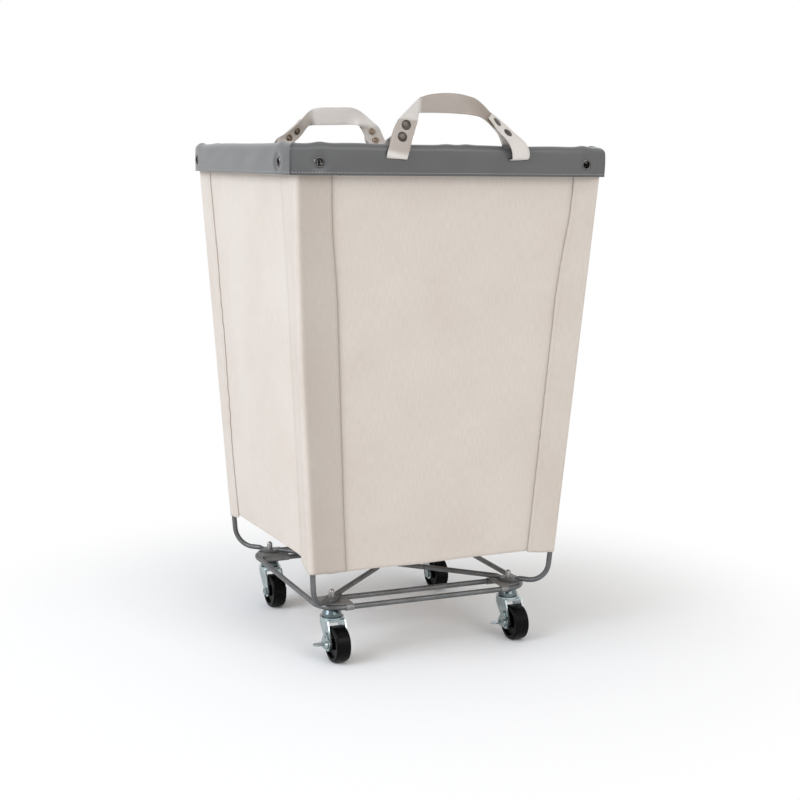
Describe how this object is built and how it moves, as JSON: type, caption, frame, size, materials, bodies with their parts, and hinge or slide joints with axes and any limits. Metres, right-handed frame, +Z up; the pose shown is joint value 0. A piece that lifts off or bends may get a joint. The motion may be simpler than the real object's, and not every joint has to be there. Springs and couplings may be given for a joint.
{
  "type": "wheeled laundry hamper",
  "caption": "Square laundry hamper on wheels: tapered canvas bag hung in a steel rod frame, vinyl rim, two strap handles, rod base and swivel casters with front brakes.",
  "frame": {"origin": "on the floor under the centre of the hamper", "axes": "+Z up, front face towards -Y, +X to the right seen from the front"},
  "size_m": [0.4646, 0.4666, 0.764],
  "materials": {
    "frame_steel": "drawn round rod, dull grey zinc, slightly streaky",
    "plate_steel": "pressed sheet, dull zinc",
    "rim_vinyl": "vinyl-coated cloth, smooth and slightly shiny",
    "canvas": "heavy natural cotton canvas, plain weave, matt",
    "eyelet_nickel": "nickel-plated brass, bright",
    "strap_web": "doubled canvas strap, stitched edges",
    "snap_dark": "black nickel, polished",
    "snap_brass": "dull lacquered",
    "caster_zinc": "bright zinc plate",
    "spacer_steel": "zinc plate",
    "ball_steel": "polished",
    "wheel_black": "black, glossy",
    "bush_nylon": "natural"
  },
  "bodies": {
    "hamper": {"top_hoop": "frame_steel", "leg_frame_lower": "frame_steel", "leg_frame_upper": "frame_steel", "base_hoop": "frame_steel", "front_cross_rod": "frame_steel", "rear_cross_rod": "frame_steel", "corner_plate_fl": "plate_steel", "corner_plate_fr": "plate_steel", "corner_plate_rl": "plate_steel", "corner_plate_rr": "plate_steel", "rim_band": "rim_vinyl", "front_panel": "canvas", "rear_panel": "canvas", "left_panel": "canvas", "right_panel": "canvas", "bottom_panel": "canvas", "corner_sleeve_fl": "canvas", "corner_sleeve_fr": "canvas", "corner_sleeve_rl": "canvas", "corner_sleeve_rr": "canvas", "outer_grommets": "eyelet_nickel", "inner_grommets": "eyelet_nickel", "front_handle_loops": "strap_web", "rear_handle_loops": "strap_web", "caster_stem_fl": "caster_zinc", "caster_stem_fr": "caster_zinc", "caster_stem_rl": "caster_zinc", "caster_stem_rr": "caster_zinc", "stem_cap_nuts": "caster_zinc", "stem_spacers": "spacer_steel"},
    "caster_fl": {"caster_fork_fl": "caster_zinc", "swivel_balls_fl": "ball_steel", "axle_fl": "caster_zinc", "wheel_bush_fl": "bush_nylon"},
    "wheel_fl": {"wheel_fl": "wheel_black"},
    "caster_fr": {"caster_fork_fr": "caster_zinc", "swivel_balls_fr": "ball_steel", "axle_fr": "caster_zinc", "wheel_bush_fr": "bush_nylon"},
    "wheel_fr": {"wheel_fr": "wheel_black"},
    "caster_rl": {"caster_fork_rl": "caster_zinc", "swivel_balls_rl": "ball_steel", "axle_rl": "caster_zinc", "wheel_bush_rl": "bush_nylon"},
    "wheel_rl": {"wheel_rl": "wheel_black"},
    "caster_rr": {"caster_fork_rr": "caster_zinc", "swivel_balls_rr": "ball_steel", "axle_rr": "caster_zinc", "wheel_bush_rr": "bush_nylon"},
    "wheel_rr": {"wheel_rr": "wheel_black"},
    "brake_fl": {"brake_lever_fl": "caster_zinc"},
    "brake_fr": {"brake_lever_fr": "caster_zinc"},
    "front_handle": {"front_handle": "strap_web", "front_snap_caps": "snap_dark", "front_snap_studs": "snap_brass"},
    "rear_handle": {"rear_handle": "strap_web", "rear_snap_caps": "snap_dark", "rear_snap_studs": "snap_brass"}
  },
  "joints": [
    {"name": "swivel_fl", "type": "hinge", "parent": "hamper", "child": "caster_fl", "pos_m": [-0.136, -0.136, 0.055], "axis": [0, 0, 1], "continuous": true},
    {"name": "roll_fl", "type": "hinge", "parent": "caster_fl", "child": "wheel_fl", "pos_m": [-0.13523, -0.15799, 0.025], "axis": [0.9994, 0.0349, 0], "continuous": true},
    {"name": "brake_fl", "type": "hinge", "parent": "caster_fl", "child": "brake_fl", "pos_m": [-0.13523, -0.15799, 0.025], "axis": [-0.9994, -0.0349, 0], "range_deg": [0, 25]},
    {"name": "swivel_fr", "type": "hinge", "parent": "hamper", "child": "caster_fr", "pos_m": [0.136, -0.136, 0.055], "axis": [0, 0, 1], "continuous": true},
    {"name": "roll_fr", "type": "hinge", "parent": "caster_fr", "child": "wheel_fr", "pos_m": [0.13677, -0.15799, 0.025], "axis": [0.9994, 0.0349, 0], "continuous": true},
    {"name": "brake_fr", "type": "hinge", "parent": "caster_fr", "child": "brake_fr", "pos_m": [0.13677, -0.15799, 0.025], "axis": [-0.9994, -0.0349, 0], "range_deg": [0, 25]},
    {"name": "swivel_rl", "type": "hinge", "parent": "hamper", "child": "caster_rl", "pos_m": [-0.136, 0.136, 0.055], "axis": [0, 0, 1], "continuous": true},
    {"name": "roll_rl", "type": "hinge", "parent": "caster_rl", "child": "wheel_rl", "pos_m": [-0.13523, 0.11401, 0.025], "axis": [0.9994, 0.0349, 0], "continuous": true},
    {"name": "swivel_rr", "type": "hinge", "parent": "hamper", "child": "caster_rr", "pos_m": [0.136, 0.136, 0.055], "axis": [0, 0, 1], "continuous": true},
    {"name": "roll_rr", "type": "hinge", "parent": "caster_rr", "child": "wheel_rr", "pos_m": [0.13677, 0.11401, 0.025], "axis": [0.9994, 0.0349, 0], "continuous": true},
    {"name": "front_handle_flop", "type": "hinge", "parent": "hamper", "child": "front_handle", "pos_m": [0, -0.22285, 0.704], "axis": [1, 0, 0], "range_deg": [-80, 80]},
    {"name": "rear_handle_flop", "type": "hinge", "parent": "hamper", "child": "rear_handle", "pos_m": [0, 0.22285, 0.704], "axis": [1, 0, 0], "range_deg": [-80, 80]}
  ]
}
